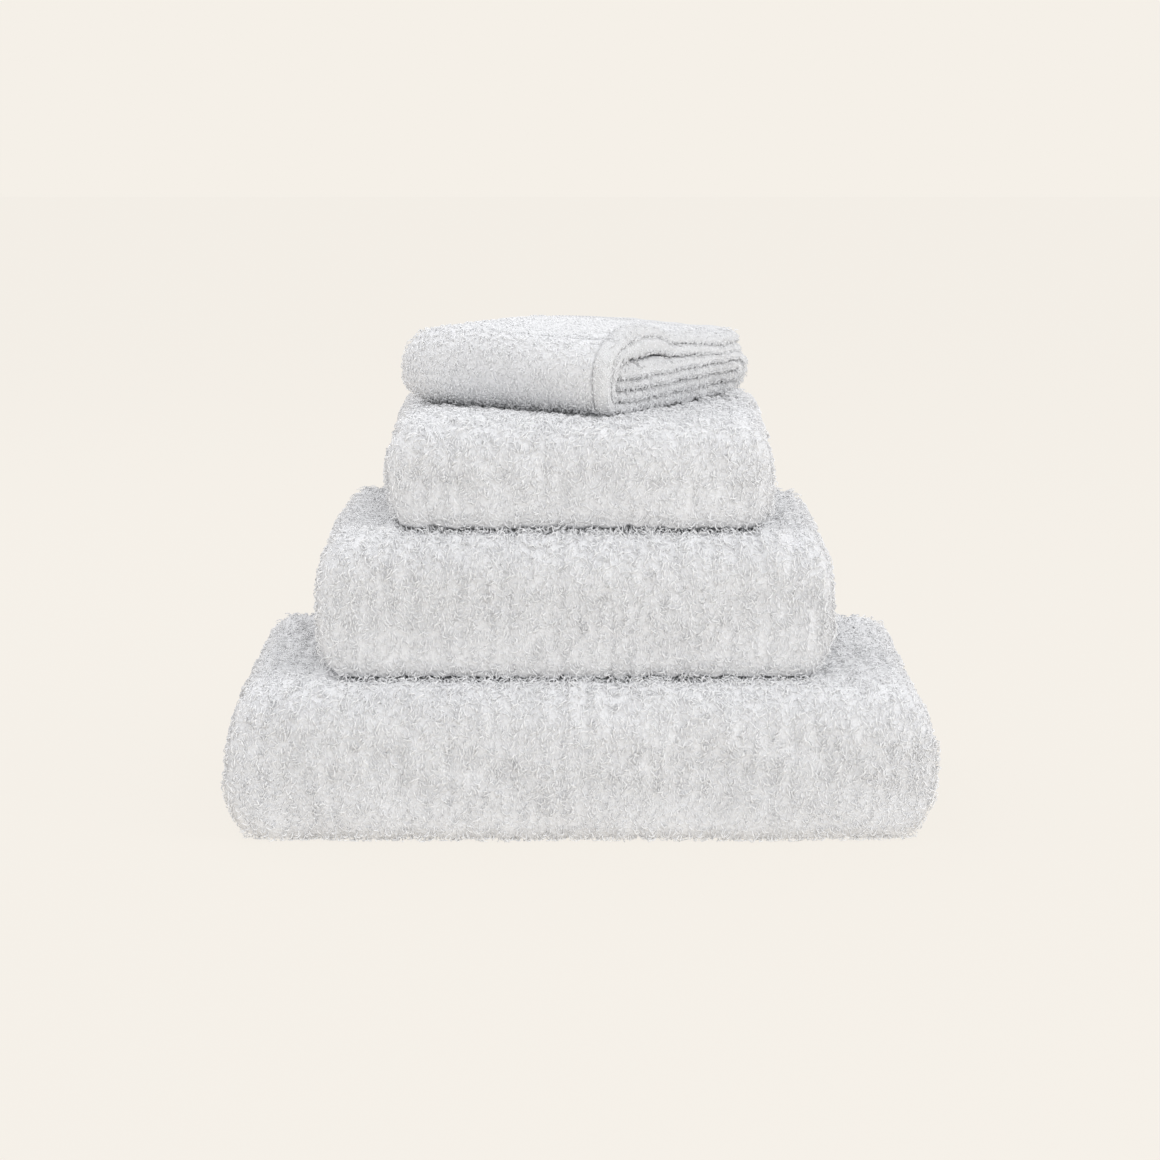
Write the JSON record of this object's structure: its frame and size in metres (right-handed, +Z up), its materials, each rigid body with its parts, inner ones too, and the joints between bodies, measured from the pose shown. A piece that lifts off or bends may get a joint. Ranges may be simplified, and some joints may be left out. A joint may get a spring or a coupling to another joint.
{
  "type": "bath towel set",
  "caption": "Stack of folded white terry towels in falling sizes, from bath sheet to guest towel, with woven hems; each towel lifts off and the top one opens.",
  "frame": {"origin": "middle of the whole stack's footprint, on the surface that the lowest towel lies on", "axes": "+Z up, +X to the right along the wrapped front folds, -Y towards the front, where the folds face"},
  "size_m": [0.4986, 0.3364, 0.3403],
  "materials": {
    "terry_pile": "matte",
    "hem_weave": "matte"
  },
  "bodies": {
    "bath_sheet": {"bath_sheet_cloth": "terry_pile", "bath_sheet_side_hem_a": "hem_weave", "bath_sheet_side_hem_b": "hem_weave", "bath_sheet_end_hem_a": "hem_weave", "bath_sheet_end_hem_b": "hem_weave"},
    "bath_towel": {"bath_towel_cloth": "terry_pile", "bath_towel_side_hem_a": "hem_weave", "bath_towel_side_hem_b": "hem_weave", "bath_towel_end_hem_a": "hem_weave", "bath_towel_end_hem_b": "hem_weave"},
    "hand_towel": {"hand_towel_cloth": "terry_pile", "hand_towel_side_hem_a": "hem_weave", "hand_towel_side_hem_b": "hem_weave", "hand_towel_end_hem_a": "hem_weave", "hand_towel_end_hem_b": "hem_weave"},
    "guest_towel": {"guest_towel_base_cloth": "terry_pile", "guest_towel_base_side_hem_a": "hem_weave", "guest_towel_base_side_hem_b": "hem_weave", "guest_towel_base_end_hem": "hem_weave"},
    "guest_flap": {"guest_towel_flap_cloth": "terry_pile", "guest_towel_flap_side_hem_a": "hem_weave", "guest_towel_flap_side_hem_b": "hem_weave", "guest_towel_flap_end_hem": "hem_weave"}
  },
  "joints": [
    {"name": "bath_towel_lift", "type": "slide", "parent": "bath_sheet", "child": "bath_towel", "axis": [0, 0, 1], "range_m": [0, 0.25]},
    {"name": "hand_towel_lift", "type": "slide", "parent": "bath_towel", "child": "hand_towel", "axis": [0, 0, 1], "range_m": [0, 0.25]},
    {"name": "guest_towel_lift", "type": "slide", "parent": "hand_towel", "child": "guest_towel", "axis": [0, 0, 1], "range_m": [0, 0.25]},
    {"name": "guest_flap_unfold", "type": "hinge", "parent": "guest_towel", "child": "guest_flap", "pos_m": [0.016, -0.09823, 0.3145], "axis": [0.8192, -0.5736, 0], "range_deg": [0, 150]}
  ]
}
